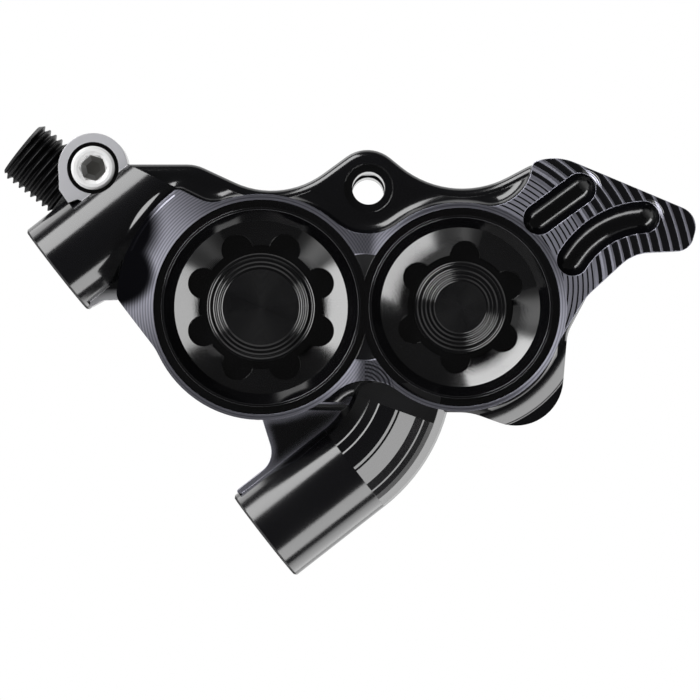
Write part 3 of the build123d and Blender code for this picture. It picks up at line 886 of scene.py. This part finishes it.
# Pieces with one even finish, and the friction material's copper flecks
plainFinish = {
    "steel": {
        "colour": (0.50, 0.50, 0.51),
        "metallic": 1.0,
        "roughness": 0.28,
        "grain": 1500,
        "depth": 0.000002,
    },
    "friction": {
        "colour": (0.11, 0.085, 0.065),
        "metallic": 0.0,
        "roughness": 0.85,
        "grain": 1800,
        "depth": 0.00003,
        "fleckColour": (0.34, 0.22, 0.11),
        "fleckScale": 2400,
        "fleckFrom": (0.56, 0.66),
    },
    "seal": {
        "colour": (0.020, 0.020, 0.021),
        "metallic": 0.0,
        "roughness": 0.55,
        "grain": 3000,
        "depth": 0.000002,
    },
    "fitting": {
        "colour": (0.004, 0.004, 0.0045),
        "metallic": 0.0,
        "roughness": 0.34,
        "grain": 2500,
        "depth": 0.0000003,
        "ior": 1.33,
    },
}


def plainMaterial(name, kind):
    finish = plainFinish[kind]
    material, tree, shader = newMaterial(name)
    setFinish(shader, finish["colour"], finish["metallic"], finish["roughness"])
    if "ior" in finish:
        shader.inputs["IOR"].default_value = finish["ior"]
    coords = tree.nodes.new("ShaderNodeTexCoord")
    grainKind = (finish["grain"], shading["grainDetail"], shading["grainRough"])
    grain = noiseNode(tree, coords.outputs["Object"], *grainKind)
    normal = bumpNode(tree, grain, finish["depth"], bevelNode(tree, shading["plainEdge"]))
    tree.links.new(normal, shader.inputs["Normal"])
    if "fleckColour" in finish:
        flecks = tree.nodes.new("ShaderNodeValToRGB")
        colours = (finish["colour"], finish["fleckColour"])
        for element, place, colour in zip(flecks.color_ramp.elements, finish["fleckFrom"], colours):
            element.position = place
            element.color = (*colour, 1)
        fleckKind = (finish["fleckScale"], shading["fleckDetail"])
        spots = noiseNode(tree, coords.outputs["Object"], *fleckKind)
        tree.links.new(spots, flecks.inputs["Fac"])
        tree.links.new(flecks.outputs["Color"], shader.inputs["Base Color"])
    return material


def paint(node, material):
    mesh = nodes[node].data
    mesh.materials.clear()
    mesh.materials.append(material)


paint("caliper_body", bodyMaterial())
for size, centreU in (("large", 0), ("small", layout["boreSpacing"])):
    paint(f"bore_cap_{size}", capMaterial("Cap" + size.capitalize(), size))
    paint(f"cap_seal_{size}", plainMaterial("CapSeal" + size.capitalize(), "seal"))
    for side in ("outer", "inner"):
        name = side.capitalize() + size.capitalize()
        finish = turnedMaterial("Piston" + name, "piston", centreU, 0)
        paint(f"{side}_piston_{size}", finish)
        paint(f"{side}_piston_seal_{size}", plainMaterial("Seal" + name, "seal"))
plainPieces = [
    # node, material, finish, slot
    ("outer_pad_backplate", "BackplateOuter", "steel", "steel"),
    ("inner_pad_backplate", "BackplateInner", "steel", "steel"),
    ("outer_pad_friction", "FrictionOuter", "friction", "friction"),
    ("inner_pad_friction", "FrictionInner", "friction", "friction"),
    ("pad_spring", "SpringSteel", "steel", "steel"),
    ("bleed_screw_seal", "BleedSeal", "seal", "seal"),
    ("hose_fitting", "Fitting", "fitting", "anodised"),
    ("hose_fitting_seal", "FittingSeal", "seal", "seal"),
    ("crossover_plug", "Plug", "steel", "steel"),
]
for node, name, kind, slotName in plainPieces:
    paint(node, plainMaterial(name, kind))
screw = turnedMaterial("BleedScrew", "screw", layout["lugU"], layout["lugV"])
paint("bleed_screw", screw)
print("finishes set")


def padSpring():
    piece = bpy.data.objects.new("padSpring", nodes["pad_spring"].data.copy())
    bpy.context.scene.collection.objects.link(piece)
    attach(piece, "housing")
    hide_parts("pad_spring")
    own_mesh(piece)


padSpring()
print("pad spring set")


# The hose fitting's real helical thread, in place of the CAD's plain rings
fitting = {
    "mouthU": -24.5,
    "mouthV": 16.2,
    "depth": 12.2,
    "tilt": math.radians(-38.6),
    "radius": 3.3,
    "pitch": 0.75,
    "threadDepth": 0.42,
    "free": 6.45,
    "length": 10.65,
    "chamfer": 0.45,
    "socketR": 2.6,
    "socketDepth": 4.6,
    "boreR": 0.9,
    "corner": 0.05,
    "mouthDepth": 0.1,
    "mouthFlare": 0.08,
    "threadStart": 0.03,
    "crest": 0.14,
    "flank": 0.72,
    "hidden": 0.3,
    "steps": 96,
    "rows": 16,
}


def meshPiece(name, vertices, faces, material, body):
    mesh = bpy.data.meshes.new(name)
    mesh.from_pydata(vertices, [], faces)
    mesh.validate()
    mesh.update()
    for polygon in mesh.polygons:
        polygon.use_smooth = True
    piece = bpy.data.objects.new(name, mesh)
    bpy.context.scene.collection.objects.link(piece)
    mesh.materials.append(material)
    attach(piece, body)
    return piece


def threadedStub():
    # one skin from the socket's floor out over the mouth and down the thread,
    # as rings of (radius, reach) down the stub's axis
    axis = Vector((math.cos(fitting["tilt"]), math.sin(fitting["tilt"])))
    side = Vector((-axis.y, axis.x))
    steps = fitting["steps"]
    pitch = fitting["pitch"]
    outer = fitting["radius"]
    corner = fitting["corner"]
    rings = []
    plain = [
        (fitting["boreR"], fitting["length"]),
        (fitting["boreR"], fitting["socketDepth"]),
        (fitting["boreR"] + corner, fitting["socketDepth"]),
        (fitting["socketR"] - corner, fitting["socketDepth"]),
        (fitting["socketR"], fitting["socketDepth"] - corner),
        (fitting["socketR"], fitting["mouthDepth"]),
        (fitting["socketR"] + fitting["mouthFlare"], 0.0),
        (outer - fitting["chamfer"], 0.0),
    ]
    for radius, reach in plain:
        rings.append([(radius, reach)] * steps)
    count = int(round((fitting["free"] - corner) / pitch * fitting["rows"]))
    for i in range(count + 1):
        reach = fitting["threadStart"] + i * pitch / fitting["rows"]
        ring = []
        for s in range(steps):
            phase = (reach / pitch + s / steps) % 1.0
            rise = abs(phase * 2 - 1)
            rise = min(max((rise - fitting["crest"]) / fitting["flank"], 0), 1)
            radius = outer - fitting["threadDepth"] * rise
            limit = outer - fitting["chamfer"] + reach
            ring.append((min(radius, limit), reach))
        rings.append(ring)
    rings.append([(outer - corner, fitting["free"] + fitting["hidden"])] * steps)
    rings.append([(outer - corner, fitting["length"])] * steps)
    vertices = []
    for ring in rings:
        for s, (radius, reach) in enumerate(ring):
            angle = 2 * math.pi * s / steps
            sideways = radius * math.cos(angle)
            u = fitting["mouthU"] + axis.x * reach + side.x * sideways
            v = fitting["mouthV"] + axis.y * reach + side.y * sideways
            depth = fitting["depth"] - radius * math.sin(angle)
            vertices.append(toFrame(u, v, depth))
    faces = []
    for row in range(len(rings) - 1):
        for s in range(steps):
            after = (s + 1) % steps
            a, b = row * steps + s, row * steps + after
            c, d = (row + 1) * steps + after, (row + 1) * steps + s
            faces.append((a, b, c, d))
    last = (len(rings) - 1) * steps
    for s in range(steps):
        after = (s + 1) % steps
        faces.append((last + s, last + after, after, s))
    material = plainMaterial("StubThread", "fitting")
    stub = meshPiece("hoseStub", vertices, faces, material, "housing")
    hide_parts("hose_fitting")


threadedStub()
print("hose stub threaded")


# Studio: a white surround behind the part and softboxes round the camera
studio = {
    "target": (8.93, -4.3),
    "cameraDistance": 650.0,
    "lens": 334.29,
    "sensor": 36.0,
    "nearest": 0.01,
    "horizon": (-0.30, -0.08),
    "room": 0.05,
    "fill": 0.15,
    "floor": {
        "sides": 64,
        "radius": 2.5,
        "height": -0.42,
        "colour": (0.85, 0.85, 0.85),
        "roughness": 0.9,
        "lift": 0.55,
    },
    "lamps": (
        # name, turn and lean in degrees, distance, width, height, brightness
        ("SoftUpper", 135, 64, 0.6, 0.60, 0.40, 5.4),
        ("SoftLower", -45, 62, 0.6, 0.60, 0.34, 4.2),
        ("RimLower", -45, 116, 0.6, 0.80, 0.50, 1.6),
        ("RimUpper", 135, 120, 0.6, 0.60, 0.30, 1.5),
    ),
}


def cameraSpace(x, y, z):
    # metres right, up and towards the camera from the picture's centre
    centre = toFrame(*studio["target"], 0)
    return centre + faceX * x + faceY * y + faceZ * z


def addLamp(name, turn, lean, distance, width, height, glow):
    # a softbox at an angle round the view's axis and a lean away from it
    turn, lean = math.radians(turn), math.radians(lean)
    flat = faceX * math.cos(turn) + faceY * math.sin(turn)
    toward = flat * math.sin(lean) + faceZ * math.cos(lean)
    up = (flat - toward * flat.dot(toward)).normalized()
    right = up.cross(toward)
    lamp = bpy.data.lights.new(name, "AREA")
    lamp.shape = "RECTANGLE"
    lamp.size = width
    lamp.size_y = height
    lamp.energy = glow * math.pi * width * height
    holder = bpy.data.objects.new(name, lamp)
    bpy.context.scene.collection.objects.link(holder)
    start = cameraSpace(0, 0, 0) + toward * distance
    turned = Matrix((right, up, toward)).transposed().to_4x4()
    holder.matrix_world = Matrix.Translation(start) @ turned


for lampValues in studio["lamps"]:
    addLamp(*lampValues)


def floorDisc():
    # a pale floor well below the part, a little brighter to the camera
    look = studio["floor"]
    vertices = []
    for i in range(look["sides"]):
        angle = 2 * math.pi * i / look["sides"]
        x = look["radius"] * math.cos(angle)
        y = look["radius"] * math.sin(angle)
        vertices.append((x, y, look["height"]))
    mesh = bpy.data.meshes.new("Floor")
    mesh.from_pydata(vertices, [], [tuple(range(look["sides"]))])
    piece = bpy.data.objects.new("Floor", mesh)
    bpy.context.scene.collection.objects.link(piece)
    material, tree, shader = newMaterial("PaleFloor")
    setFinish(shader, look["colour"], 0.0, look["roughness"])
    rays = tree.nodes.new("ShaderNodeLightPath")
    shader.inputs["Emission Color"].default_value = (1, 1, 1, 1)
    lift = product(tree, rays.outputs["Is Camera Ray"], look["lift"])
    tree.links.new(lift, shader.inputs["Emission Strength"])
    mesh.materials.append(material)


floorDisc()


def studioWorld():
    # white to the camera; polished surfaces see white behind the part and a
    # dim room in front of it, and everything else gets a little soft light
    world = bpy.data.worlds.new("Studio")
    bpy.context.scene.world = world
    world.use_nodes = True
    tree = world.node_tree
    tree.nodes.clear()
    out = tree.nodes.new("ShaderNodeOutputWorld")
    light = tree.nodes.new("ShaderNodeBackground")
    light.inputs["Color"].default_value = (1, 1, 1, 1)
    rays = tree.nodes.new("ShaderNodeLightPath")
    coords = tree.nodes.new("ShaderNodeTexCoord")
    dot = vectorNode(tree, "DOT_PRODUCT", coords.outputs["Generated"], faceZ)
    behind = smoothStep(tree, dot.outputs["Value"], *studio["horizon"])
    mirrored = rampNode(tree, behind, 0.0, 1.0, 1.0, studio["room"])
    glossy = product(tree, rays.outputs["Is Glossy Ray"], mirrored)
    soft = product(tree, rays.outputs["Is Diffuse Ray"], studio["fill"])
    straight = (rays.outputs["Is Camera Ray"], rays.outputs["Is Transmission Ray"])
    seen = greatest(tree, *straight, glossy, soft)
    tree.links.new(seen, light.inputs["Strength"])
    tree.links.new(light.outputs[0], out.inputs["Surface"])


studioWorld()

camera = bpy.data.cameras.new("Camera")
camera.lens = studio["lens"]
camera.sensor_width = studio["sensor"]
camera.clip_start = studio["nearest"]
cameraHolder = bpy.data.objects.new("Camera", camera)
bpy.context.scene.collection.objects.link(cameraHolder)
cameraTurn = Matrix((faceX, faceY, faceZ)).transposed().to_4x4()
cameraPlace = cameraSpace(0, 0, studio["cameraDistance"] * layout["mm"])
cameraHolder.matrix_world = Matrix.Translation(cameraPlace) @ cameraTurn
bpy.context.scene.camera = cameraHolder
bpy.context.scene.view_settings.view_transform = "Standard"
print("studio set")
